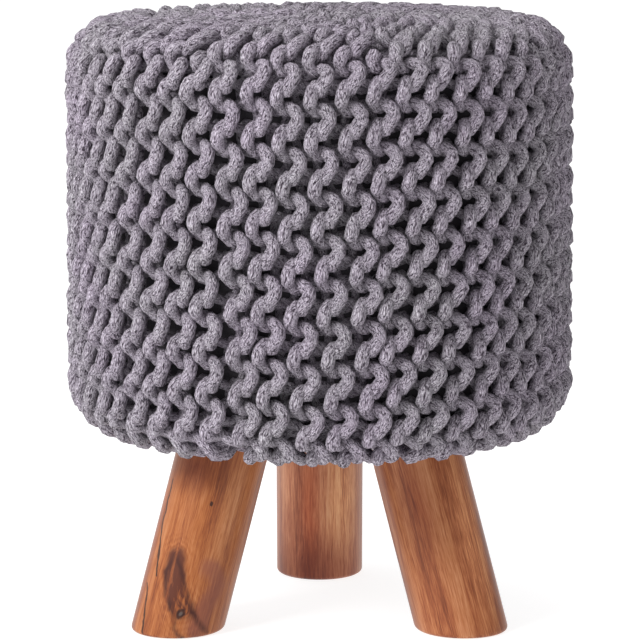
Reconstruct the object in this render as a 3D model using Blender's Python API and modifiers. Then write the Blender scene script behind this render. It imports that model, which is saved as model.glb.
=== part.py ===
"""Knitted pouf footstool: a filled drum in a garter-stitch cord cover, on three splayed round legs.

Metres, +Z up.  The origin is on the floor, under the middle of the stool, and the front is at -Y.
The cover's stitch columns run up the side of the drum as soft ribs, lean a little, and die away
on the top and on the underside.  The top slopes gently up to the front.  Each leg is a round
billet, cut level at the floor and at its top, and its top sits in a shallow pocket in the drum's
underside.
"""

import math

import bmesh
import bpy
from mathutils import Matrix, Vector

# Driving dimensions.
HEIGHT = 0.4195
DRUM_RADIUS_LOW = 0.175
DRUM_RADIUS_HIGH = 0.174
UNDERSIDE_Z = 0.130
CROWN_RISE = 0.003
TOP_ROUNDING = 0.035
TOP_SLOPE = 0.026
TOP_SLOPE_STARTS = 0.25
LOW_ROUNDING = 0.036
GAP = 0.0003

# The cover's ribs: one for each pair of knitted rows.
RIB_COUNT = 52
POINTS_PER_RIB = 4
RIB_DEPTH = 0.007
VALLEY_NARROWING = 2
RIB_TOP_FADE = (0.055, 0.140)
RIB_LOW_FADE = (0.125, 0.155)
RIB_LEAN = math.radians(3.0)
RIB_LEAN_SWING = math.radians(2.0)
RIB_LEAN_AZIMUTH = math.radians(-35.0)

# The legs.
LEG_DIAMETER = 0.062
LEG_SPLAY = math.radians(16.6)
FOOT_CIRCLE_RADIUS = 0.1125
LEG_POCKET_DEPTH = 0.008
LEG_SIDES = 40
FOOT_EASING = 0.003
FOOT_EASING_STEPS = 2
LEG_AZIMUTHS = {
    "leg_front_left": math.radians(-150.0),
    "leg_front_right": math.radians(-30.0),
    "leg_back": math.radians(90.0),
}

# The drum's outline, as the number of points on each stretch of it.
TOP_RINGS = 4
TOP_ROUND_STEPS = 4
SIDE_STEPS = 4
LOW_ROUND_STEPS = 4
INNER_TOP_RADIUS = 0.030
UNDERSIDE_RINGS = (0.128, 0.030)

COVER_COLOUR = (0.16, 0.14, 0.165, 1.0)
WOOD_COLOUR = (0.33, 0.135, 0.065, 1.0)


def clear_scene():
    """Remove the objects that the file opens with."""
    for obj in list(bpy.data.objects):
        bpy.data.objects.remove(obj, do_unlink=True)


def new_collection(name):
    """Add a collection to the scene."""
    collection = bpy.data.collections.new(name)
    bpy.context.scene.collection.children.link(collection)
    return collection


def new_material(name, colour, roughness):
    """Make a plain Principled material."""
    material = bpy.data.materials.new(name)
    material.use_nodes = True
    shader = material.node_tree.nodes["Principled BSDF"]
    shader.inputs["Base Color"].default_value = colour
    shader.inputs["Roughness"].default_value = roughness
    shader.inputs["Metallic"].default_value = 0.0
    return material


def new_object(name, mesh, collection, material=None):
    """Link a mesh into a collection as an object, with its material."""
    obj = bpy.data.objects.new(name, mesh)
    collection.objects.link(obj)
    if material is not None:
        mesh.materials.append(material)
    return obj


def smooth_step(low, high, value):
    """Rise smoothly from 0 at low to 1 at high."""
    t = min(max((value - low) / (high - low), 0.0), 1.0)
    return t * t * (3.0 - 2.0 * t)


def arc(centre, radius, start, end, steps):
    """Points of an arc in the (radius, height) plane, without its first point."""
    points = []
    for i in range(1, steps + 1):
        angle = start + (end - start) * i / steps
        points.append((centre[0] + radius * math.sin(angle), centre[1] + radius * math.cos(angle)))
    return points


def drum_profile():
    """The drum's outline as (radius, height) points, from the top's middle down to the underside's."""
    rim_z = HEIGHT - CROWN_RISE
    flat_radius = DRUM_RADIUS_HIGH - TOP_ROUNDING
    profile = [(0.0, HEIGHT)]
    for i in range(TOP_RINGS):
        radius = INNER_TOP_RADIUS + (flat_radius - INNER_TOP_RADIUS) * i / (TOP_RINGS - 1)
        profile.append((radius, rim_z + CROWN_RISE * (1.0 - (radius / flat_radius) ** 2)))
    profile += arc((flat_radius, rim_z - TOP_ROUNDING), TOP_ROUNDING, 0.0, math.pi / 2, TOP_ROUND_STEPS)
    low_centre = (DRUM_RADIUS_LOW - LOW_ROUNDING, UNDERSIDE_Z + LOW_ROUNDING)
    high_z = rim_z - TOP_ROUNDING
    for i in range(1, SIDE_STEPS + 1):
        t = i / SIDE_STEPS
        radius = DRUM_RADIUS_HIGH + (DRUM_RADIUS_LOW - DRUM_RADIUS_HIGH) * t
        profile.append((radius, high_z + (low_centre[1] - high_z) * t))
    profile += arc(low_centre, LOW_ROUNDING, math.pi / 2, math.pi, LOW_ROUND_STEPS)
    profile += [(radius, UNDERSIDE_Z) for radius in UNDERSIDE_RINGS]
    profile.append((0.0, UNDERSIDE_Z))
    return profile


def rib_strength(co):
    """How much of the full rib depth there is at a point of the drum."""
    radius = math.hypot(co.x, co.y)
    if co.z > HEIGHT - CROWN_RISE - TOP_ROUNDING:
        return smooth_step(*RIB_TOP_FADE, radius)
    return smooth_step(*RIB_LOW_FADE, radius)


def lean_angle(azimuth, z):
    """How far the leaning columns have turned about the drum at a height."""
    middle = (HEIGHT + UNDERSIDE_Z) / 2
    lean = RIB_LEAN + RIB_LEAN_SWING * math.cos(azimuth - RIB_LEAN_AZIMUTH)
    return (middle - z) * math.tan(lean) / DRUM_RADIUS_LOW


def slope_lift(y, z):
    """How far the top's slope lifts a point of the drum: up at the front, down at the back."""
    return -TOP_SLOPE * y * smooth_step(TOP_SLOPE_STARTS, HEIGHT, z)


def shape_drum(mesh):
    """Sink the valleys between the ribs into the turned drum, lean the columns and slope the top."""
    bm = bmesh.new()
    bm.from_mesh(mesh)
    bm.normal_update()
    moved = []
    for vert in bm.verts:
        azimuth = math.atan2(vert.co.y, vert.co.x)
        valley = ((1.0 - math.cos(RIB_COUNT * azimuth)) / 2) ** VALLEY_NARROWING
        sunk = vert.co - vert.normal * RIB_DEPTH * valley * rib_strength(vert.co)
        turn = Matrix.Rotation(lean_angle(azimuth, vert.co.z), 3, "Z")
        place = turn @ sunk
        place.z += slope_lift(place.y, place.z)
        moved.append((vert, place))
    for vert, place in moved:
        vert.co = place
    bm.normal_update()
    bm.to_mesh(mesh)
    bm.free()


def make_drum(collection, material):
    """Turn the drum's outline about Z, then shape its ribs and its top."""
    outline = bpy.data.meshes.new("drum_outline")
    points = [(radius, 0.0, z) for radius, z in drum_profile()]
    edges = [(i, i + 1) for i in range(len(points) - 1)]
    outline.from_pydata(points, edges, [])
    turned = new_object("drum_outline", outline, collection)
    screw = turned.modifiers.new("turn", "SCREW")
    screw.steps = RIB_COUNT * POINTS_PER_RIB
    screw.render_steps = RIB_COUNT * POINTS_PER_RIB
    screw.use_merge_vertices = True
    screw.merge_threshold = 0.0001
    evaluated = turned.evaluated_get(bpy.context.evaluated_depsgraph_get())
    mesh = bpy.data.meshes.new_from_object(evaluated)
    bpy.data.objects.remove(turned, do_unlink=True)
    shape_drum(mesh)
    mesh.shade_smooth()
    return new_object("knit_drum", mesh, collection, material)


def leg_mesh(name, azimuth, radius, top_z, eased):
    """A splayed round billet, cut level at the floor and at its top."""
    outward = Vector((math.cos(azimuth), math.sin(azimuth), 0.0))
    foot = outward * FOOT_CIRCLE_RADIUS
    direction = Vector((0.0, 0.0, 1.0)) * math.cos(LEG_SPLAY) - outward * math.sin(LEG_SPLAY)
    length = 2.0 * top_z
    bm = bmesh.new()
    bmesh.ops.create_cone(bm, cap_ends=True, segments=LEG_SIDES, radius1=radius, radius2=radius,
                          depth=2.0 * length)
    turn = direction.to_track_quat("Z", "Y").to_matrix().to_4x4()
    bmesh.ops.transform(bm, matrix=Matrix.Translation(foot) @ turn, verts=bm.verts)
    for height, side in ((0.0, -1.0), (top_z, 1.0)):
        cut = bmesh.ops.bisect_plane(bm, geom=bm.verts[:] + bm.edges[:] + bm.faces[:],
                                     plane_co=(0.0, 0.0, height), plane_no=(0.0, 0.0, side),
                                     clear_outer=True)
        rim = [item for item in cut["geom_cut"] if isinstance(item, bmesh.types.BMEdge)]
        bmesh.ops.edgeloop_fill(bm, edges=rim)
    if eased:
        foot_rim = [edge for edge in bm.edges if all(abs(vert.co.z) < GAP for vert in edge.verts)]
        bmesh.ops.bevel(bm, geom=foot_rim, offset=FOOT_EASING, segments=FOOT_EASING_STEPS,
                        profile=0.5, affect="EDGES")
    bmesh.ops.recalc_face_normals(bm, faces=bm.faces)
    mesh = bpy.data.meshes.new(name)
    bm.to_mesh(mesh)
    bm.free()
    return mesh


def make_legs(drum, collection, cutters, material):
    """Make the three legs, and cut the pocket that each one's top sits in."""
    top_z = UNDERSIDE_Z + LEG_POCKET_DEPTH
    for name, azimuth in LEG_AZIMUTHS.items():
        mesh = leg_mesh(name, azimuth, LEG_DIAMETER / 2, top_z - GAP, eased=True)
        mesh.shade_smooth()
        mesh.set_sharp_from_angle(angle=math.radians(40.0))
        new_object(name, mesh, collection, material)
        pocket = leg_mesh(name + "_pocket", azimuth, LEG_DIAMETER / 2 + GAP, top_z, eased=False)
        cutter = new_object(name + "_pocket", pocket, cutters)
        cutter.hide_render = True
        cutter.display_type = "WIRE"
        cut = drum.modifiers.new(name + "_pocket", "BOOLEAN")
        cut.operation = "DIFFERENCE"
        cut.solver = "EXACT"
        cut.object = cutter


def main():
    """Build the footstool."""
    clear_scene()
    stool = new_collection("knitted_pouf_footstool")
    cutters = new_collection("cutters")
    drum = make_drum(stool, new_material("grey_cotton_cord", COVER_COLOUR, 0.9))
    make_legs(drum, stool, cutters, new_material("oiled_hardwood", WOOD_COLOUR, 0.45))


main()
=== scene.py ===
"""The looks of the knitted pouf footstool: its garter-stitch cord cover, its legs, light and camera.

The cover is built as it is knitted.  One stitch of each of two neighbouring rows, a knit row and a
purl row, is relaxed as a soft cord against its neighbours, then laid along every row of the cover.
Rows run up the side of the drum, and wedges of short rows close the top and the underside.
"""

import math

import bmesh
import bpy
import numpy as np
from mathutils import Matrix, Vector


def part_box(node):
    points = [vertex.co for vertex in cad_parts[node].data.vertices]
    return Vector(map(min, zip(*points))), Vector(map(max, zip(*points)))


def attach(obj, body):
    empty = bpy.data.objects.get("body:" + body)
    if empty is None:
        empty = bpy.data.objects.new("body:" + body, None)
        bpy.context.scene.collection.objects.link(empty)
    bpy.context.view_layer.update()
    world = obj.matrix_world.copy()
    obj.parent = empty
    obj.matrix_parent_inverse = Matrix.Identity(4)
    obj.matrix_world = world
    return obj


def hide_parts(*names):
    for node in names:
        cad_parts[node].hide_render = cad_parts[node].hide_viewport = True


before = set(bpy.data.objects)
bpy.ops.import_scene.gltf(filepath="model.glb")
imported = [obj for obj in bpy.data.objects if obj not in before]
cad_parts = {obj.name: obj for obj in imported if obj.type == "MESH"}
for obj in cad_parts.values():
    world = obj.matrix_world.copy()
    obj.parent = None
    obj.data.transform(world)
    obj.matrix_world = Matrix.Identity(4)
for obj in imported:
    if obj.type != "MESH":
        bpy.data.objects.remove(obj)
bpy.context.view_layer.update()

MM = 0.001

# The drum, read from the frame, and the shape of its outline.  The top slopes gently up to the front,
# so its highest place is a little above the crown's own height.
DRUM_LOW, DRUM_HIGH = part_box("knit_drum")
FRONT_RISE = 0.0004
HEIGHT = DRUM_HIGH[2] - FRONT_RISE
UNDERSIDE_Z = DRUM_LOW[2]
RADIUS_LOW = 0.175
RADIUS_HIGH = 0.174
CROWN_RISE = 0.003
TOP_SLOPE = 0.026
SLOPE_STARTS = 0.25
TOP_ROUNDING = 0.036
LOW_ROUNDING = 0.036
FLAT_POINTS = 60
ARC_STEPS = 40
SIDE_POINTS = 50

# The knit: rows in pairs, a pair for each ridge, and a wedge of short rows every few ridges.  The
# ridges stand a little closer on the drum's left than on its right, and lean.
CORD = 9.4 * MM
WEDGE_RIDGES = (6, 7, 6, 7, 6, 7, 6, 7)
RIDGES = sum(WEDGE_RIDGES)
STITCH = 27.8 * MM
STITCH_PHASE = 13.4 * MM
COVER_TURN = math.radians(-18.9)
COVER_STRETCH = math.radians(1.8)
POINTS_PER_STITCH = 22
CORD_SIDES = 9
LEAN = math.radians(3.0)
LEAN_SWING = math.radians(2.0)
LEAN_AZIMUTH = math.radians(-35.0)
TUCK_LENGTH = 0.014
TUCK_DEPTH = 0.013
RIDGE_END = 0.45
DRAWN_IN_RADIUS = 0.004
GATHER_RADIUS = 0.022
STITCH_NOISE = (0.55 * MM, 0.55 * MM, 0.30 * MM)
CORD_NOISE = 0.025
SEED = 11

# Each ridge slips along by a little of its own, and wanders across in a slow wave.
RIDGE_SLIP = 0.0012
RIDGE_WANDER = 0.0009
WANDER_LENGTH = 0.11
WANDER_TURN = 6.28

# The relaxed stitch, in millimetres: the rough loop that it starts from, then how it settles.
ROUGH_SWING = 3.6
ROUGH_REACH = 9.7
ROUGH_DEPTH = 8.0
ROUGH_FLATNESS = 1.6
CELL_POINTS = 36
CELL_STITCH = 28.4
CELL_ROW = 10.35
CELL_LENGTH = 66.8
CELL_CONTACT = 5.2
CELL_NEIGHBOURS = 1.7
CELL_REACH = 11.6
CELL_DEPTH = 21.0
CELL_STEPS = 400
CELL_BEND = 0.08
CELL_PUSH = 0.5
STRETCH_PASSES = 3
CELL_SETTLE_STEPS = 8
SETTLE_BEND = 0.01
SETTLE_PUSH = 0.3
# Marks for points of another cord, and for points too near along the same cord to press on it.
OTHER_CORD = 10000
FAR_AWAY = 99.0
# How the settled loops are turned, rounded and pressed.
KNIT_TURN = 2.2
PURL_TURN = 2.4
PURL_LEAD = 0.8
PURL_DIP = 3.5
ARC_ROUNDING = 0.014
ARC_SHORTENING = 0.12
PRESSED = 0.30
PRESS_STARTS = 1.5 * MM
PRESS_FULL = 8.0 * MM
BACK_STARTS = 12.0
BACK_SQUEEZE = 0.45

# How much deeper the knit is than the relaxed stitch, and how deep the cushion lies behind it.
RELIEF = 1.12
PAD_DEPTH = 0.0210
PAD_TURNS = 108

# The legs.
LEG_RADIUS = 0.031
LEG_SPLAY = math.radians(16.6)
FOOT_CIRCLE_RADIUS = 0.1125
LEG_TOP_Z = UNDERSIDE_Z + 0.0077
FOOT_EASING = 0.003
EASING_STEPS = 4
LEG_LEVELS = 22
LEG_SIDES = 96
LEG_AZIMUTHS = {
    "leg_front_left": math.radians(-150.0),
    "leg_front_right": math.radians(-30.0),
    "leg_back": math.radians(90.0),
}

# The wood: its tones from dark grain to pale, and the figure of one leg.  A place on a leg's skin is
# how far round it lies from the outward side, and how far up the leg.
WOOD_IOR = 1.36
WOOD_TONES = {
    "leg_front_left": [(0.38, (0.14, 0.032, 0.012)), (0.49, (0.27, 0.074, 0.022)),
                       (0.58, (0.38, 0.122, 0.036)), (0.70, (0.48, 0.190, 0.075))],
    "leg_front_right": [(0.38, (0.17, 0.042, 0.016)), (0.49, (0.30, 0.085, 0.031)),
                        (0.58, (0.42, 0.150, 0.058)), (0.70, (0.53, 0.230, 0.110))],
    "leg_back": [(0.38, (0.18, 0.045, 0.020)), (0.49, (0.33, 0.100, 0.044)),
                 (0.58, (0.44, 0.165, 0.078)), (0.70, (0.52, 0.235, 0.125))],
}
# How fine each noise is across and along the grain, and how much of it goes into the tone.
BROAD_SCALE, BROAD_TONE = (75.0, 75.0, 7.0), 0.36
STREAK_SCALE, STREAK_TONE = (260.0, 260.0, 8.0), 0.36
PORE_SCALE, PORE_TONE = (1200.0, 1200.0, 60.0), 0.44
WOOD_SHIFT = -0.04
SWAY_SCALE = (90.0, 90.0, 60.0)
# Broad oval patches that darken or pale the wood: partly its own tone, partly painted shade near the legs'
# tops and feet and painted sheen towards their sides; centre, half size, and what they multiply the colour
# by.
# The skin's seam is on a leg's inward side, so a patch that lies over it is listed from both sides.
SHADE_SHEEN_AND_TONE_PATCHES = {
    "leg_front_left": [((0.016, 0.112), (0.034, 0.024), (0.60, 0.44, 0.46)),
                       ((0.047, 0.088), (0.017, 0.060), (1.20, 1.42, 1.75)),
                       ((-0.013, 0.065), (0.017, 0.080), (0.66, 0.50, 0.48))],
    "leg_front_right": [((-0.009, 0.060), (0.020, 0.095), (1.75, 2.20, 2.60)),
                        ((-0.040, 0.092), (0.014, 0.050), (0.70, 0.50, 0.40)),
                        ((-0.073, 0.030), (0.016, 0.050), (0.66, 0.58, 0.55))],
    "leg_back": [((0.072, 0.085), (0.018, 0.055), (1.45, 1.65, 1.75)),
                 ((-0.079, 0.078), (0.025, 0.072), (1.62, 2.10, 2.05)),
                 ((0.116, 0.078), (0.025, 0.072), (1.62, 2.10, 2.05)),
                 ((0.094, 0.015), (0.036, 0.045), (0.56, 0.40, 0.38)),
                 ((-0.101, 0.015), (0.036, 0.045), (0.56, 0.40, 0.38)),
                 ((0.090, 0.065), (0.011, 0.110), (1.02, 0.74, 0.60)),
                 ((-0.105, 0.065), (0.011, 0.110), (1.02, 0.74, 0.60)),
                 ((0.091, 0.012), (0.012, 0.056), (0.66, 0.56, 0.44)),
                 ((-0.104, 0.012), (0.012, 0.056), (0.66, 0.56, 0.44)),
                 ((0.064, 0.006), (0.026, 0.042), (0.50, 0.38, 0.32))],
}
CRACKS = [
    [(-0.0024, 0.0990), (-0.0021, 0.071), (0.0026, 0.052), (0.006, 0.034)],
    [(-0.002, 0.026), (0.0024, 0.015), (0.0075, -0.007)],
    [(0.0330, 0.0885), (0.0332, 0.0905)],
]
FLAME_LINES = [
    [(0.0185, 0.050), (0.0141, 0.039), (0.0156, 0.029), (0.0191, 0.0225), (0.0265, 0.013),
     (0.0293, 0.0045), (0.036, -0.002)],
    [(0.0185, 0.050), (0.0242, 0.0446), (0.0292, 0.033), (0.0362, 0.018), (0.0487, 0.0075),
     (0.0543, 0.0044)],
]
FLAME_WIDTH = 0.0031
FLAME_SPINE = [(0.0195, 0.048), (0.0217, 0.034), (0.0262, 0.023), (0.0325, 0.016)]
SPINE_WIDTH = 0.0105
# The grain wraps the flame in rings: how close they are, how they waver, how far out they reach, and
# how much they show.  The streaks break up its heart and its edges, each by a gain and a shift.
RING_RATE = 1700.0
RING_WAVER = 14.0
WRAP_REACH = 0.0240
WRAP_TONE = 0.040
RING_FILL = 0.38
FLAME_BREAKS = (6.0, -2.25)
EDGE_BREAKS = (3.0, -0.85)
CRACK_WIDTH = 0.0014
GRAIN_SWAY = (0.0012, 0.0012, 0.0)
FIGURE_SWAY = (0.0075, 0.0075, 0.0)
KNOT_CENTRE = (0.0315, 0.0125)
KNOT_SIZE = (0.0040, 0.0046)
KNOT_CORE = (0.0017, 0.0021)
HEART_LINE = [(0.045, 0.047), (0.0535, 0.038), (0.0500, 0.0268), (0.0447, 0.0062)]
HEART_WIDTH = 0.0105
CRACK_TONE = (0.028, 0.010, 0.008)
FLAME_TONE = (0.105, 0.026, 0.012)
FLAME_EDGE_TONE = (0.060, 0.014, 0.008)
CORE_TONE = (0.12, 0.090, 0.078)
HEART_TONE = (0.24, 0.078, 0.052)

# The camera: a long lens, a little above the stool, that looks down at it with no shift.
CAMERA_PLACE = (0.0003, -2.567, 0.6466)
CAMERA_PITCH = math.radians(9.77)
CAMERA_LENS = 212.0
SENSOR = 36.0

# The lights: where each soft box stands, its side and its power in watts.
LIGHT_TARGET = (0.0, 0.0, 0.25)
KEY_LIGHT = ((-1.6, -1.5, 1.7), 0.8, 46.0)
TOP_LIGHT = ((-0.2, 0.5, 2.4), 1.2, 10.0)

# The surround's brightness, and how it falls from left to right.
SURROUND_LEVEL = 0.62
SURROUND_SLOPE = -0.46

# The floor: how much light it gives back, and how much it gives of its own.
FLOOR_TONE = 0.32
FLOOR_GLOW = 0.85
FLOOR_SIDE = 14.0
FLOOR_GAP = 0.0004

# The cord's own small stitches: their columns, and how each one slants in its half column.
WALES = 5.0
WALE_RUFFLE = 0.4
PLY_ACROSS = (6.0, -12.0)
PLY_ALONG = (2.6, 14.0)
PLY_RUFFLE = 0.12
PLY_RANDOM = 0.75
PLY_GAP = 0.82
PLY_EDGE = 3.2
PLY_TONE = 0.42
PLACE_SCALE = (60.0, 60.0, 60.0)
RUFFLE_SCALE = 1.3
COLUMN_SKIP = 7.31
WISP_SCALE = 8.0
WISP_RISE = 0.9
WISP_TONE = 1.02
TONE_SHIFT = -0.093
CORD_BUMP = 0.0010
DRIFT_SCALE = 18.0
DRIFT_TONES = [(0.35, (0.95, 0.96, 0.95)), (0.65, (1.03, 0.98, 1.05))]
CORD_TONES = [(0.38, (0.030, 0.021, 0.032)), (0.58, (0.165, 0.138, 0.170)), (0.80, (0.345, 0.308, 0.358)),
              (1.00, (0.72, 0.68, 0.74))]

# The cushion's casing: how fine its weave is, and its tones, kept near black as painted shade for the
# holes between the cords.
CASING_SCALE = 900.0
CASING_SHADE_TONES = [(0.3, (0.030, 0.026, 0.032)), (0.7, (0.055, 0.048, 0.056))]


def smooth_step(low, high, value):
    """Rise smoothly from 0 at low to 1 at high, over an array."""
    t = np.clip((value - low) / (high - low), 0.0, 1.0)
    return t * t * (3.0 - 2.0 * t)


# ---------------------------------------------------------------- the relaxed stitch


def first_loop(sign):
    """A rough loop of cord: sinker, leg, head, leg.  Columns are along, across and out."""
    phase = 2.0 * np.pi * np.arange(CELL_POINTS) / CELL_POINTS
    along = CELL_STITCH * (phase / (2.0 * np.pi) - 0.5) + ROUGH_SWING * np.sin(2.0 * phase)
    across = -ROUGH_REACH * np.cos(phase)
    rise = -np.cos(phase)
    out = sign * ROUGH_DEPTH * np.sign(rise) * np.abs(rise) ** ROUGH_FLATNESS
    return np.stack([along, across, out], axis=1)


def bend_and_stretch(loop, bend, passes):
    """Ease a loop's bends, then bring each stretch of it back to its length."""
    step = np.array([CELL_STITCH, 0.0, 0.0])
    length = CELL_LENGTH / CELL_POINTS
    ring = np.concatenate([loop[-2:] - step, loop, loop[:2] + step])
    fourth = ring[:-4] - 4.0 * ring[1:-3] + 6.0 * ring[2:-2] - 4.0 * ring[3:-1] + ring[4:]
    loop = loop - bend * fourth
    for _ in range(passes):
        gap = np.concatenate([loop[1:], loop[:1] + step]) - loop
        size = np.linalg.norm(gap, axis=1, keepdims=True)
        move = 0.5 * (size - length) / size * gap
        loop = loop + move - np.roll(move, 1, axis=0)
    return loop


def contact_push(rows, which, strength):
    """Push one row's loop out of the cords that press on it."""
    loop = rows[which]
    index = np.arange(CELL_POINTS)
    others = []
    tags = []
    for row in range(-2, 3):
        for stitch in range(-2, 3):
            shift = np.array([stitch * CELL_STITCH, row * CELL_ROW, 0.0])
            others.append(rows[(which + row) % 2] + shift)
            tags.append(index + stitch * CELL_POINTS if row == 0 else np.full(CELL_POINTS, OTHER_CORD))
    gap = loop[:, None] - np.concatenate(others)[None]
    distance = np.linalg.norm(gap, axis=2)
    apart = np.abs(index[:, None] - np.concatenate(tags)[None]) * CELL_LENGTH / CELL_POINTS
    distance = np.where(apart < CELL_CONTACT * CELL_NEIGHBOURS, FAR_AWAY, distance)
    press = np.clip(CELL_CONTACT - distance, 0.0, None)
    push = ((press / np.maximum(distance, 1e-6))[..., None] * gap).sum(axis=1)
    return loop + strength * push / np.maximum((press > 0.0).sum(axis=1), 1)[:, None]


def centred(loop):
    """Keep a loop from drifting along or across."""
    loop = loop.copy()
    loop[:, :2] -= loop[:, :2].mean(axis=0)
    return loop


def relaxed_stitches():
    """The knit row's loop and the purl row's, in metres, with out at 0 on the front arcs."""
    rows = [first_loop(1.0), first_loop(-1.0)]
    for _ in range(CELL_STEPS):
        rows = [bend_and_stretch(loop, CELL_BEND, STRETCH_PASSES) for loop in rows]
        rows = [centred(contact_push(rows, which, CELL_PUSH)) for which in (0, 1)]
        for loop in rows:
            loop[:, 1] *= CELL_REACH / np.abs(loop[:, 1]).max()
            top = loop[:, 2].max()
            loop[:, 2] = (loop[:, 2] - top) * CELL_DEPTH / (top - loop[:, 2].min()) + CELL_DEPTH / 2
    for loop, purl in zip(rows, (False, True)):
        front = smooth_step(-CELL_DEPTH / 2, CELL_DEPTH / 2, loop[:, 2])
        swing = np.sin(2.0 * np.pi * loop[:, 0] / CELL_STITCH)
        if purl:
            loop[:, 1] += front * (PURL_TURN * np.minimum(swing, 0.0) - PURL_LEAD * np.maximum(swing, 0.0))
            loop[:, 2] += PURL_DIP * front * np.minimum(swing, 0.0)
            middle = CELL_STITCH * np.round(loop[:, 0] / CELL_STITCH + 0.5) - CELL_STITCH / 2
        else:
            loop[:, 1] -= KNIT_TURN * front * swing
            middle = 0.0
        loop[:, 0] += ARC_SHORTENING * front * (middle - loop[:, 0])
        side = loop[:, 1] / np.abs(loop[:, 1]).max()
        from_head = loop[:, 0] ** 2
        from_sinker = (CELL_STITCH / 2 - np.abs(loop[:, 0])) ** 2
        loop[:, 1] -= ARC_ROUNDING * from_head * np.clip(side, 0.0, 1.0)
        loop[:, 1] += ARC_ROUNDING * from_sinker * np.clip(-side, 0.0, 1.0)
    for _ in range(CELL_SETTLE_STEPS):
        rows = [bend_and_stretch(loop, SETTLE_BEND, 0) for loop in rows]
        rows = [centred(contact_push(rows, which, SETTLE_PUSH)) for which in (0, 1)]
    shaped = []
    for loop in rows:
        loop[:, 2] -= loop[:, 2].max()
        deep = loop[:, 2] < -BACK_STARTS
        loop[deep, 2] = -BACK_STARTS + (loop[deep, 2] + BACK_STARTS) * BACK_SQUEEZE
        shaped.append(resampled(loop) * MM)
    return shaped


def resampled(loop):
    """A loop at evenly spaced points of a smooth curve through its own."""
    step = np.array([CELL_STITCH, 0.0, 0.0])
    ring = np.concatenate([loop[-1:] - step, loop, loop[:2] + step])
    fine = []
    parts = 8
    for i in range(CELL_POINTS):
        a, b, c, d = ring[i:i + 4]
        for t in np.arange(parts) / parts:
            fine.append(0.5 * (2 * b + (c - a) * t + (2 * a - 5 * b + 4 * c - d) * t * t
                               + (3 * b - a - 3 * c + d) * t ** 3))
    fine = np.array(fine + [fine[0] + step])
    travelled = np.concatenate([[0.0], np.cumsum(np.linalg.norm(np.diff(fine, axis=0), axis=1))])
    places = travelled[-1] * np.arange(POINTS_PER_STITCH) / POINTS_PER_STITCH
    return np.stack([np.interp(places, travelled, fine[:, k]) for k in range(3)], axis=1)


# ---------------------------------------------------------------- the drum's outline


def arc(centre, radius, start, end, steps):
    """Points of an arc in the (radius, height) plane, without its first point."""
    angles = start + (end - start) * np.arange(1, steps + 1) / steps
    return [(centre[0] + radius * math.sin(a), centre[1] + radius * math.cos(a)) for a in angles]


def outline_points(depth):
    """The drum's outline, a depth inside its outer face, from the top's middle to the underside's."""
    rim_z = HEIGHT - CROWN_RISE
    flat = RADIUS_HIGH - TOP_ROUNDING
    radii = np.linspace(0.0, flat, FLAT_POINTS)
    points = [(r, rim_z + CROWN_RISE * (1.0 - (r / flat) ** 2) - depth) for r in radii]
    top = max(TOP_ROUNDING - depth, 0.002)
    low = LOW_ROUNDING - depth
    points += arc((flat, rim_z - TOP_ROUNDING), top, 0.0, math.pi / 2, ARC_STEPS)
    low_centre = (RADIUS_LOW - LOW_ROUNDING, UNDERSIDE_Z + LOW_ROUNDING)
    high_z = rim_z - TOP_ROUNDING
    for t in np.linspace(0.0, 1.0, SIDE_POINTS)[1:]:
        radius = RADIUS_HIGH + (RADIUS_LOW - RADIUS_HIGH) * t - depth
        points.append((radius, high_z + (low_centre[1] - high_z) * t))
    points += arc(low_centre, low, math.pi / 2, math.pi, ARC_STEPS)
    points += [(r, UNDERSIDE_Z + depth) for r in np.linspace(low_centre[0], 0.0, FLAT_POINTS)[1:]]
    return np.array(points)


class Outline:
    """The line that the front arcs' middles lie on, by distance from the middle of the top."""

    def __init__(self, depth):
        points = outline_points(depth)
        steps = np.linalg.norm(np.diff(points, axis=0), axis=1)
        self.travelled = np.concatenate([[0.0], np.cumsum(steps)])
        self.length = self.travelled[-1]
        direction = np.gradient(points, self.travelled, axis=0)
        direction /= np.linalg.norm(direction, axis=1, keepdims=True)
        self.points = points
        self.normals = np.stack([-direction[:, 1], direction[:, 0]], axis=1)

    def at(self, distance):
        """Radius, height and outward normal at an array of distances."""
        distance = np.clip(distance, 0.0, self.length)
        values = [self.points[:, 0], self.points[:, 1], self.normals[:, 0], self.normals[:, 1]]
        return [np.interp(distance, self.travelled, value) for value in values]

    def distance_at_radius(self, radius, upper):
        """Where the flat top, or the underside, has a radius."""
        half = len(self.points) // 2
        if upper:
            return np.interp(radius, self.points[:half, 0], self.travelled[:half])
        return np.interp(radius, self.points[:half:-1, 0], self.travelled[:half:-1])


def lean_angle(azimuth, z):
    """How far the leaning columns have turned about the drum at a height."""
    middle = (HEIGHT + UNDERSIDE_Z) / 2
    lean = LEAN + LEAN_SWING * np.cos(azimuth - LEAN_AZIMUTH)
    return (middle - z) * np.tan(lean) / RADIUS_LOW


def slope_lift(y, z):
    """How far the top's gentle slope, up towards the front, lifts a point of the drum."""
    return -TOP_SLOPE * y * smooth_step(SLOPE_STARTS, HEIGHT, z)


# ---------------------------------------------------------------- the cover


def slow_noise(rng, places, sizes):
    """Smooth random offsets along a row, with a fresh value at every stitch for each size."""
    knots = np.arange(int(places[-1]) + 2)
    values = rng.normal(0.0, 1.0, (len(sizes), len(knots)))
    return np.stack([size * np.interp(places, knots, v) for size, v in zip(sizes, values)], axis=1)


def cord_radius(out):
    """The cord's radius by its depth: full on the outside, pressed thin where it passes through."""
    return CORD / 2 * (1.0 - PRESSED * smooth_step(PRESS_STARTS, PRESS_FULL, -out))


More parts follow.
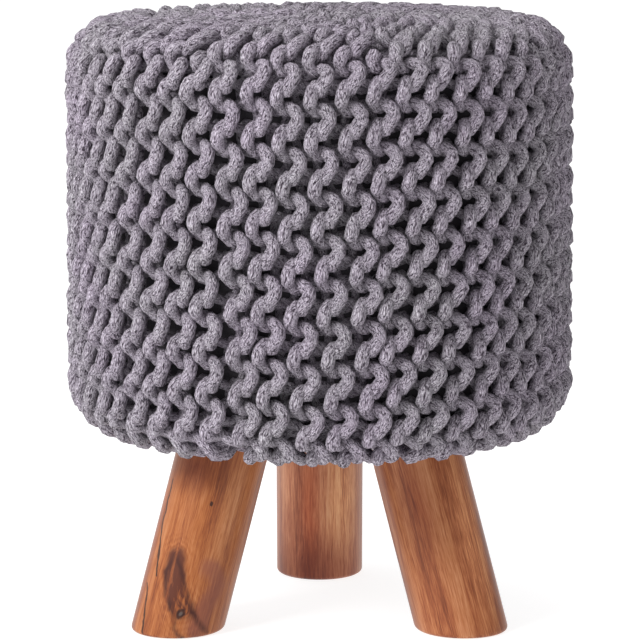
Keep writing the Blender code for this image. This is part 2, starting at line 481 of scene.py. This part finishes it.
def row_path(outline, loop, wedge, ridge, row, rng, ridge_shift):
    """The path of the cord along one row of the cover, and its radius at each point."""
    spacing = 2.0 * math.pi * (RADIUS_LOW - CORD / 2) / RIDGES
    full_radius = (ridge + RIDGE_END) * (RADIUS_LOW - CORD / 2) / WEDGE_RIDGES[wedge]
    ridge_end = DRAWN_IN_RADIUS if ridge == 0 else full_radius
    start = outline.distance_at_radius(ridge_end, True)
    end = outline.distance_at_radius(ridge_end, False)
    first = int(math.floor(start / STITCH)) - 1
    last = int(math.ceil(end / STITCH)) + 2
    path = np.concatenate([loop + np.array([STITCH * k, 0.0, 0.0]) for k in range(first, last)])
    places = np.arange(len(path)) / POINTS_PER_STITCH
    path = path + slow_noise(rng, places, STITCH_NOISE)
    path[:, 0] += STITCH_PHASE + ridge_shift[0]
    keep = (path[:, 0] > start) & (path[:, 0] < end)
    along, across, out = path[keep].T
    plump = 1.0 + slow_noise(rng, 2.0 * places, (CORD_NOISE,))[keep, 0]
    radius, height, normal_r, normal_z = outline.at(along)
    reach = np.clip(radius, GATHER_RADIUS, RADIUS_LOW - CORD / 2)
    scale = spacing / (2.0 * CELL_ROW * MM)
    wander = ridge_shift[1] * np.sin(along / WANDER_LENGTH + ridge_shift[2])
    offset = spacing * (ridge + (row - 0.5) / 2) + across * scale + wander
    tuck = 1.0 - smooth_step(0.0, TUCK_LENGTH, np.minimum(along - start, end - along))
    depth = TUCK_DEPTH * tuck - RELIEF * out
    radius = radius - depth * normal_r
    height = height - depth * normal_z
    azimuth = COVER_TURN + 2.0 * math.pi * sum(WEDGE_RIDGES[:wedge]) / RIDGES + offset / reach
    azimuth = azimuth + COVER_STRETCH * np.cos(azimuth)
    azimuth = azimuth + lean_angle(azimuth, height)
    path = np.stack([radius * np.cos(azimuth), radius * np.sin(azimuth), height], axis=1)
    path[:, 2] += slope_lift(path[:, 1], height)
    return path, plump * cord_radius(out)


def turning_frames(path):
    """Two directions across a path that turn no more than it does."""
    tangent = np.gradient(path, axis=0)
    tangent /= np.linalg.norm(tangent, axis=1, keepdims=True)
    across = np.cross(tangent[0], (0.31, 0.17, 0.93))
    sides = np.empty_like(path)
    for i, direction in enumerate(tangent):
        across = across - direction * across.dot(direction)
        across = across / math.sqrt(across.dot(across))
        sides[i] = across
    return sides, np.cross(tangent, sides)


def cord_arrays(path, radii, sides):
    """The points, faces and UV places of a closed tube round a path."""
    count = len(path)
    first, second = turning_frames(path)
    angles = 2.0 * np.pi * np.arange(sides) / sides
    ring = np.cos(angles)[None, :, None] * first[:, None] + np.sin(angles)[None, :, None] * second[:, None]
    points = (path[:, None] + radii[:, None, None] * ring).reshape(-1, 3)
    i, j = np.meshgrid(np.arange(count - 1), np.arange(sides), indexing="ij")
    i, j = i.ravel(), j.ravel()
    k = (j + 1) % sides
    quads = np.stack([i * sides + j, i * sides + k, (i + 1) * sides + k, (i + 1) * sides + j], axis=1)
    travelled = np.concatenate([[0.0], np.cumsum(np.linalg.norm(np.diff(path, axis=0), axis=1))])
    travelled = travelled / (math.pi * CORD)
    u = np.stack([j, j + 1, j + 1, j], axis=1) / sides
    v = np.stack([travelled[i], travelled[i], travelled[i + 1], travelled[i + 1]], axis=1)
    caps = [np.arange(sides)[::-1], (count - 1) * sides + np.arange(sides)]
    return points, quads, np.stack([u, v], axis=2), caps, travelled[[0, -1]]


def cord_mesh(name, cords, sides):
    """One mesh of many tubes, smooth, with a UV map that runs round and along each."""
    points, corners, places, sizes = [], [], [], []
    base = 0
    for path, radii in cords:
        verts, quads, uv, caps, ends = cord_arrays(path, radii, sides)
        points.append(verts)
        corners.append((quads + base).ravel())
        places.append(uv.reshape(-1, 2))
        sizes.append(np.full(len(quads), 4))
        for cap, end in zip(caps, ends):
            corners.append(cap + base)
            places.append(np.stack([np.zeros(sides), np.full(sides, end)], axis=1))
            sizes.append(np.array([sides]))
        base += len(verts)
    points, corners = np.concatenate(points), np.concatenate(corners)
    places, sizes = np.concatenate(places), np.concatenate(sizes)
    mesh = bpy.data.meshes.new(name)
    mesh.vertices.add(len(points))
    mesh.vertices.foreach_set("co", points.astype(np.float32).ravel())
    mesh.loops.add(len(corners))
    mesh.loops.foreach_set("vertex_index", corners.astype(np.int32))
    mesh.polygons.add(len(sizes))
    starts = np.concatenate([[0], np.cumsum(sizes)[:-1]])
    mesh.polygons.foreach_set("loop_start", starts.astype(np.int32))
    mesh.polygons.foreach_set("use_smooth", np.ones(len(sizes), dtype=bool))
    layer = mesh.uv_layers.new(name="cord")
    layer.data.foreach_set("uv", places.astype(np.float32).ravel())
    mesh.update(calc_edges=True)
    mesh.validate()
    return mesh


def add_object(name, mesh, material):
    """Link a mesh into the scene with its material."""
    obj = bpy.data.objects.new(name, mesh)
    bpy.context.scene.collection.objects.link(obj)
    mesh.materials.append(material)
    return obj


def make_cover(material):
    """Knit the cover, a wedge at a time."""
    rng = np.random.default_rng(SEED)
    outline = Outline(CORD / 2)
    loops = relaxed_stitches()
    pieces = []
    for wedge, ridges in enumerate(WEDGE_RIDGES):
        cords = []
        for ridge in range(ridges):
            slip, wander = rng.normal(0.0, RIDGE_SLIP), rng.normal(0.0, RIDGE_WANDER)
            shift = (slip, wander, rng.uniform(0.0, WANDER_TURN))
            for row, loop in enumerate(loops):
                cords.append(row_path(outline, loop, wedge, ridge, row, rng, shift))
        name = "knit_wedge_%d" % (wedge + 1)
        piece = add_object(name, cord_mesh(name, cords, CORD_SIDES), material)
        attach(piece, "root")
        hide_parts("knit_drum")
        pieces.append(piece)
    return pieces


def make_pad(material):
    """The filled cushion that the cover is pulled over, seen only between its cords."""
    mesh = bpy.data.meshes.new("filled_pad")
    bm = bmesh.new()
    profile = outline_points(PAD_DEPTH)[::3]
    rings = []
    for radius, height in profile[1:-1]:
        ring = []
        for k in range(PAD_TURNS):
            a = 2.0 * math.pi * k / PAD_TURNS
            y = radius * math.sin(a)
            ring.append(bm.verts.new((radius * math.cos(a), y, height + slope_lift(y, height))))
        rings.append(ring)
    top = bm.verts.new((0.0, 0.0, profile[0][1]))
    low = bm.verts.new((0.0, 0.0, profile[-1][1]))
    for upper, lower in zip(rings, rings[1:]):
        for k in range(PAD_TURNS):
            n = (k + 1) % PAD_TURNS
            bm.faces.new((upper[k], lower[k], lower[n], upper[n]))
    for k in range(PAD_TURNS):
        n = (k + 1) % PAD_TURNS
        bm.faces.new((top, rings[0][k], rings[0][n]))
        bm.faces.new((low, rings[-1][n], rings[-1][k]))
    bm.to_mesh(mesh)
    bm.free()
    mesh.shade_smooth()
    pad = add_object("filled_pad", mesh, material)
    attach(pad, "root")
    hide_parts("knit_drum")
    return pad


# ---------------------------------------------------------------- the legs


def leg_frame(azimuth):
    """The place and turn of a leg: its Z runs up the leg's axis, from the floor."""
    outward = Vector((math.cos(azimuth), math.sin(azimuth), 0.0))
    axis = Vector((0.0, 0.0, 1.0)) * math.cos(LEG_SPLAY) - outward * math.sin(LEG_SPLAY)
    side = axis.cross(outward).normalized()
    front = side.cross(axis)
    turn = Matrix((front, side, axis)).transposed().to_4x4()
    return Matrix.Translation(outward * FOOT_CIRCLE_RADIUS) @ turn


def make_leg(name, azimuth, material):
    """A round billet, sawn level at both ends, with an eased edge at the floor."""
    place = leg_frame(azimuth)
    levels = []
    for k in range(EASING_STEPS + 1):
        a = math.pi / 2 * k / EASING_STEPS
        levels.append((LEG_RADIUS - FOOT_EASING * (1.0 - math.sin(a)), FOOT_EASING * (1.0 - math.cos(a))))
    for t in np.linspace(0.0, 1.0, LEG_LEVELS)[1:]:
        levels.append((LEG_RADIUS, FOOT_EASING + (LEG_TOP_Z - FOOT_EASING) * t))
    bm = bmesh.new()
    rings = []
    for radius, height in levels:
        ring = []
        for k in range(LEG_SIDES):
            a = 2.0 * math.pi * k / LEG_SIDES
            x, y = radius * math.cos(a), radius * math.sin(a)
            lift = (height - x * place[2][0] - y * place[2][1]) / place[2][2]
            ring.append(bm.verts.new(place @ Vector((x, y, lift))))
        rings.append(ring)
    for lower, upper in zip(rings, rings[1:]):
        for k in range(LEG_SIDES):
            n = (k + 1) % LEG_SIDES
            bm.faces.new((lower[k], lower[n], upper[n], upper[k]))
    bm.faces.new(rings[0][::-1])
    bm.faces.new(rings[-1])
    mesh = bpy.data.meshes.new(name + "_turned")
    bm.to_mesh(mesh)
    bm.free()
    mesh.shade_smooth()
    mesh.set_sharp_from_angle(angle=math.radians(50.0))
    leg = add_object(name + "_turned", mesh, material)
    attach(leg, "root")
    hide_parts(name)
    return leg


# ---------------------------------------------------------------- materials


class Nodes:
    """A short way to write a material's nodes."""

    def __init__(self, name):
        self.material = bpy.data.materials.new(name)
        self.material.use_nodes = True
        self.tree = self.material.node_tree
        self.shader = self.tree.nodes["Principled BSDF"]

    def put(self, kind, inputs=None, **settings):
        """Add a node, set it up, and link or set its inputs by name or number."""
        node = self.tree.nodes.new(kind)
        for key, value in settings.items():
            setattr(node, key, value)
        for key, value in (inputs or {}).items():
            if isinstance(value, bpy.types.NodeSocket):
                self.tree.links.new(value, node.inputs[key])
            else:
                node.inputs[key].default_value = value
        return node

    def math(self, operation, a, b=0.0, c=0.0):
        """A Math node's result."""
        return self.put("ShaderNodeMath", {0: a, 1: b, 2: c}, operation=operation).outputs[0]

    def noise(self, vector, scale, detail=2.0, roughness=0.5):
        """A noise texture's grey value."""
        inputs = {"Vector": vector, "Scale": scale, "Detail": detail, "Roughness": roughness}
        return self.put("ShaderNodeTexNoise", inputs).outputs["Fac"]

    def stretch(self, vector, scale):
        """A vector scaled along each axis."""
        return self.put("ShaderNodeVectorMath", {0: vector, 1: scale}, operation="MULTIPLY").outputs[0]

    def shift(self, vector, by):
        """A vector moved by another."""
        return self.put("ShaderNodeVectorMath", {0: vector, 1: by}, operation="ADD").outputs[0]

    def ramp(self, value, stops):
        """A colour ramp's colour; stops are (place, colour)."""
        node = self.put("ShaderNodeValToRGB", {"Fac": value})
        elements = node.color_ramp.elements
        while len(elements) < len(stops):
            elements.new(0.5)
        for element, (place, colour) in zip(elements, stops):
            element.position = place
            element.color = (*colour, 1.0)
        return node.outputs["Color"]

    def fade(self, distance, width, softness):
        """1 at no distance, falling to 0 at a width, over the share of it that softness gives."""
        inputs = {"Value": distance, 1: width * (1.0 - softness), 2: width, 3: 1.0, 4: 0.0}
        return self.put("ShaderNodeMapRange", inputs, interpolation_type="SMOOTHSTEP").outputs[0]

    def mix(self, factor, a, b, blend="MIX"):
        """A colour mix."""
        node = self.put("ShaderNodeMix", data_type="RGBA", blend_type=blend)
        for key, value in ((0, factor), (6, a), (7, b)):
            if isinstance(value, bpy.types.NodeSocket):
                self.tree.links.new(value, node.inputs[key])
            else:
                node.inputs[key].default_value = value if key == 0 else (*value, 1.0)
        return node.outputs[2]

    def finish(self, **inputs):
        """Set or link the shader's own sockets."""
        for key, value in inputs.items():
            socket = self.shader.inputs[key.replace("_", " ")]
            if isinstance(value, bpy.types.NodeSocket):
                self.tree.links.new(value, socket)
            else:
                socket.default_value = value
        return self.material


def cord_material():
    """Soft cotton cord: small slanting stitches in mirrored columns, grey with a trace of mauve."""
    n = Nodes("grey_cotton_cord")
    uv = n.put("ShaderNodeUVMap", uv_map="cord").outputs[0]
    split = n.put("ShaderNodeSeparateXYZ", {0: uv})
    around, along = split.outputs[0], split.outputs[1]
    angle = n.math("MULTIPLY", around, 2.0 * math.pi)
    surface = n.put("ShaderNodeCombineXYZ", {
        0: n.math("COSINE", angle), 1: n.math("SINE", angle), 2: n.math("MULTIPLY", along, 2.0 * math.pi)})
    surface = surface.outputs[0]
    place = n.put("ShaderNodeTexCoord").outputs["Object"]
    surface = n.shift(n.stretch(place, PLACE_SCALE), surface)
    ruffle = n.math("SUBTRACT", n.noise(surface, RUFFLE_SCALE, 1.0, 0.5), 0.5)
    columns = n.math("MULTIPLY_ADD", around, WALES, n.math("MULTIPLY", ruffle, WALE_RUFFLE))
    wale = n.math("PINGPONG", columns, 0.5)
    column = n.math("FLOOR", n.math("MULTIPLY", columns, 2.0))
    down = n.math("MULTIPLY_ADD", ruffle, PLY_RUFFLE, along)
    across_ply = n.math("MULTIPLY_ADD", wale, PLY_ACROSS[0], n.math("MULTIPLY", down, PLY_ACROSS[1]))
    along_ply = n.math("MULTIPLY_ADD", wale, PLY_ALONG[0], n.math("MULTIPLY", down, PLY_ALONG[1]))
    column = n.math("MULTIPLY", column, COLUMN_SKIP)
    stitch = n.put("ShaderNodeCombineXYZ", {0: across_ply, 1: along_ply, 2: column})
    inputs = {"Vector": stitch.outputs[0], "Scale": 1.0, "Randomness": PLY_RANDOM}
    far = n.put("ShaderNodeTexVoronoi", inputs, feature="F1").outputs["Distance"]
    gap = n.math("MULTIPLY", n.math("SUBTRACT", PLY_GAP, far), PLY_EDGE)
    ply = n.put("ShaderNodeClamp", {0: gap}).outputs[0]
    wisp = n.noise(surface, WISP_SCALE, 2.0, 0.7)
    height = n.math("MULTIPLY_ADD", wisp, WISP_RISE, ply)
    shade = n.math("MULTIPLY_ADD", wisp, WISP_TONE, n.math("MULTIPLY_ADD", ply, PLY_TONE, TONE_SHIFT))
    tone = n.ramp(shade, CORD_TONES)
    drift = n.ramp(n.noise(place, DRIFT_SCALE, 2.0), DRIFT_TONES)
    colour = n.mix(1.0, tone, drift, "MULTIPLY")
    bump = n.put("ShaderNodeBump", {"Height": height, "Strength": 1.0, "Distance": CORD_BUMP})
    n.finish(Base_Color=colour, Roughness=0.95, Normal=bump.outputs[0], Sheen_Weight=0.10,
             Sheen_Roughness=0.5, Specular_IOR_Level=0.15)
    return n.material


def shade_casing_material():
    """The cushion's woven casing, near black as painted shade in the holes between the cords."""
    n = Nodes("casing_painted_shade")
    place = n.put("ShaderNodeTexCoord").outputs["Object"]
    weave = n.noise(place, CASING_SCALE, 2.0, 0.6)
    # Near-black tones: painted shade for the holes between the cords, where the cushion shows.
    colour = n.ramp(weave, CASING_SHADE_TONES)
    bump = n.put("ShaderNodeBump", {"Height": weave, "Strength": 0.4, "Distance": 0.0005})
    return n.finish(Base_Color=colour, Roughness=0.95, Normal=bump.outputs[0])


def gap_to_line(n, spot, points):
    """How far a place on the leg's skin is from a line through some points."""
    found = None
    for start, end in zip(points, points[1:]):
        along = Vector((end[0] - start[0], end[1] - start[1], 0.0))
        away = n.shift(spot, (-start[0], -start[1], 0.0))
        inputs = {0: away, 1: along / along.length_squared}
        part = n.put("ShaderNodeVectorMath", inputs, operation="DOT_PRODUCT").outputs["Value"]
        part = n.put("ShaderNodeClamp", {0: part}).outputs[0]
        near = n.put("ShaderNodeVectorMath", {0: along, "Scale": part}, operation="SCALE").outputs[0]
        gap = n.put("ShaderNodeVectorMath", {0: away, 1: near}, operation="DISTANCE").outputs["Value"]
        found = gap if found is None else n.math("MINIMUM", found, gap)
    return found


def patch(n, spot, centre, size, softness):
    """How strongly an oval patch of the leg's skin shows, from 0 to 1."""
    away = n.shift(spot, (-centre[0], -centre[1], 0.0))
    away = n.stretch(away, (1.0 / size[0], 1.0 / size[1], 1.0))
    gap = n.put("ShaderNodeVectorMath", {0: away}, operation="LENGTH").outputs["Value"]
    return n.fade(gap, 1.0, softness)


def lay_shade_sheen_and_tone(n, spot, colour, patches):
    """Darken or pale broad oval patches of the wood, partly its own tone and partly painted shade and
    painted sheen, and keep its grain.
    """
    for centre, size, tint in patches:
        colour = n.mix(patch(n, spot, centre, size, 1.0), colour, tint, "MULTIPLY")
    return colour


def wood_material(leg, azimuth, offset, figured):
    """Oiled hardwood with soft streaks and fine pores; a figured leg has a knot and cracks too."""
    n = Nodes(leg + "_wood")
    tones = WOOD_TONES[leg]
    place = n.put("ShaderNodeTexCoord").outputs["Object"]
    turn = leg_frame(azimuth)
    inputs = {"Vector": place, "Location": turn.translation, "Rotation": turn.to_euler()}
    place = n.put("ShaderNodeMapping", inputs, vector_type="TEXTURE").outputs[0]
    split = n.put("ShaderNodeSeparateXYZ", {0: place})
    skin = n.math("MULTIPLY", n.math("ARCTAN2", split.outputs[1], split.outputs[0]), LEG_RADIUS)
    spot = n.put("ShaderNodeCombineXYZ", {0: skin, 1: split.outputs[2], 2: 0.0}).outputs[0]
    inputs = {"Vector": n.stretch(place, SWAY_SCALE), "Scale": 1.0, "Detail": 3.0}
    sway = n.put("ShaderNodeTexNoise", inputs)
    sway = n.shift(sway.outputs["Color"], (-0.5, -0.5, -0.5))
    place = n.shift(n.shift(place, offset), n.stretch(sway, GRAIN_SWAY))
    broad = n.noise(n.stretch(place, BROAD_SCALE), 1.0, 1.0)
    streak = n.noise(n.stretch(place, STREAK_SCALE), 1.0, 3.0, 0.6)
    pores = n.noise(n.stretch(place, PORE_SCALE), 1.0, 2.0, 0.7)
    value = n.math("MULTIPLY_ADD", streak, STREAK_TONE, WOOD_SHIFT)
    value = n.math("MULTIPLY_ADD", broad, BROAD_TONE, value)
    value = n.math("MULTIPLY_ADD", pores, PORE_TONE, value)
    spot = n.shift(spot, n.stretch(sway, FIGURE_SWAY))
    if figured:
        spine = gap_to_line(n, spot, FLAME_SPINE)
        rings = n.math("MULTIPLY_ADD", streak, RING_WAVER, n.math("MULTIPLY", spine, RING_RATE))
        rings = n.math("SINE", rings)
        wraps = n.math("MULTIPLY", rings, n.fade(spine, WRAP_REACH, 0.8))
        colour = n.ramp(n.math("MULTIPLY_ADD", wraps, WRAP_TONE, value), tones)
        # Patches of the wood's own tone, with painted shade and painted sheen.
        colour = lay_shade_sheen_and_tone(n, spot, colour, SHADE_SHEEN_AND_TONE_PATCHES[leg])
        colour = figured_wood(n, spot, spine, streak, rings, colour)
    else:
        # Patches of the wood's own tone, with painted shade and painted sheen.
        colour = lay_shade_sheen_and_tone(n, spot, n.ramp(value, tones), SHADE_SHEEN_AND_TONE_PATCHES[leg])
    height = n.math("MULTIPLY_ADD", pores, 0.8, streak)
    bump = n.put("ShaderNodeBump", {"Height": height, "Strength": 0.2, "Distance": 0.0003})
    rough = n.math("MULTIPLY_ADD", pores, 0.16, 0.28)
    return n.finish(Base_Color=colour, Roughness=rough, Normal=bump.outputs[0], IOR=WOOD_IOR)


def figured_wood(n, spot, spine, streak, rings, colour):
    """Lay the flame, the knot, the red heartwood and the cracks over a leg's plain colour."""
    heart = n.fade(gap_to_line(n, spot, HEART_LINE), HEART_WIDTH, 0.7)
    colour = n.mix(n.math("MULTIPLY", heart, 0.60), colour, HEART_TONE)
    inside = n.math("MULTIPLY_ADD", streak, *FLAME_BREAKS)
    inside = n.math("MULTIPLY_ADD", rings, RING_FILL, inside)
    inside = n.put("ShaderNodeClamp", {0: inside}).outputs[0]
    colour = n.mix(n.math("MULTIPLY", n.fade(spine, SPINE_WIDTH, 0.6), inside), colour, FLAME_TONE)
    edge = n.put("ShaderNodeClamp", {0: n.math("MULTIPLY_ADD", streak, *EDGE_BREAKS)}).outputs[0]
    for points in FLAME_LINES:
        line = n.fade(gap_to_line(n, spot, points), FLAME_WIDTH, 1.0)
        colour = n.mix(n.math("MULTIPLY", line, edge), colour, FLAME_EDGE_TONE)
    ring = patch(n, spot, KNOT_CENTRE, KNOT_SIZE, 0.4)
    colour = n.mix(n.math("MULTIPLY", ring, 0.85), colour, CRACK_TONE)
    core = patch(n, spot, KNOT_CENTRE, KNOT_CORE, 0.6)
    colour = n.mix(n.math("MULTIPLY", core, 0.8), colour, CORE_TONE)
    for points in CRACKS:
        crack = n.fade(gap_to_line(n, spot, points), CRACK_WIDTH, 0.7)
        colour = n.mix(n.math("MULTIPLY", crack, 0.9), colour, CRACK_TONE)
    return colour


# ---------------------------------------------------------------- floor, light and camera


def white_material(name):
    """A white sweep lit from behind: it takes soft shadows, and stays white."""
    white = (1.0, 1.0, 1.0, 1.0)
    return Nodes(name).finish(Base_Color=(FLOOR_TONE, FLOOR_TONE, FLOOR_TONE, 1.0), Roughness=0.9,
                              Emission_Color=white, Emission_Strength=FLOOR_GLOW)


def make_stage():
    """A plain pale floor that fills the view."""
    mesh = bpy.data.meshes.new("floor")
    bm = bmesh.new()
    bmesh.ops.create_grid(bm, x_segments=2, y_segments=2, size=FLOOR_SIDE)
    bm.to_mesh(mesh)
    bm.free()
    floor = add_object("floor", mesh, white_material("white_floor"))
    floor.location = (0.0, 0.0, -FLOOR_GAP)


def area_light(name, place, size, power):
    """A square soft box that faces the stool."""
    light = bpy.data.lights.new(name, "AREA")
    light.size = size
    light.energy = power
    obj = bpy.data.objects.new(name, light)
    bpy.context.scene.collection.objects.link(obj)
    obj.location = place
    obj.rotation_euler = (Vector(LIGHT_TARGET) - Vector(place)).to_track_quat("-Z", "Y").to_euler()


def make_light():
    """A soft key from the upper left, a weak top light, and a surround that is darker on the right."""
    area_light("key", *KEY_LIGHT)
    area_light("top", *TOP_LIGHT)
    world = bpy.data.worlds.new("studio")
    world.use_nodes = True
    nodes, links = world.node_tree.nodes, world.node_tree.links
    split = nodes.new("ShaderNodeSeparateXYZ")
    links.new(nodes.new("ShaderNodeTexCoord").outputs["Generated"], split.inputs[0])
    level = nodes.new("ShaderNodeMath")
    level.operation = "MULTIPLY_ADD"
    level.inputs[1].default_value = SURROUND_SLOPE
    level.inputs[2].default_value = SURROUND_LEVEL
    links.new(split.outputs[0], level.inputs[0])
    nodes["Background"].inputs["Color"].default_value = (1.0, 1.0, 1.0, 1.0)
    links.new(level.outputs[0], nodes["Background"].inputs["Strength"])
    bpy.context.scene.world = world
    bpy.context.scene.view_settings.view_transform = "Standard"


def make_camera():
    """The main view, from the front."""
    camera = bpy.data.cameras.new("camera")
    camera.lens = CAMERA_LENS
    camera.sensor_width = SENSOR
    obj = bpy.data.objects.new("camera", camera)
    bpy.context.scene.collection.objects.link(obj)
    obj.location = CAMERA_PLACE
    obj.rotation_euler = (math.pi / 2 - CAMERA_PITCH, 0.0, 0.0)
    bpy.context.scene.camera = obj


def main():
    """Dress the frame."""
    make_camera()
    make_light()
    make_stage()
    make_cover(cord_material())
    make_pad(shade_casing_material())
    for number, (name, azimuth) in enumerate(LEG_AZIMUTHS.items()):
        offset = (0.011, -0.008, 0.6 * number)
        figured = name == "leg_front_left"
        material = wood_material(name, azimuth, offset, figured)
        make_leg(name, azimuth, material)


main()
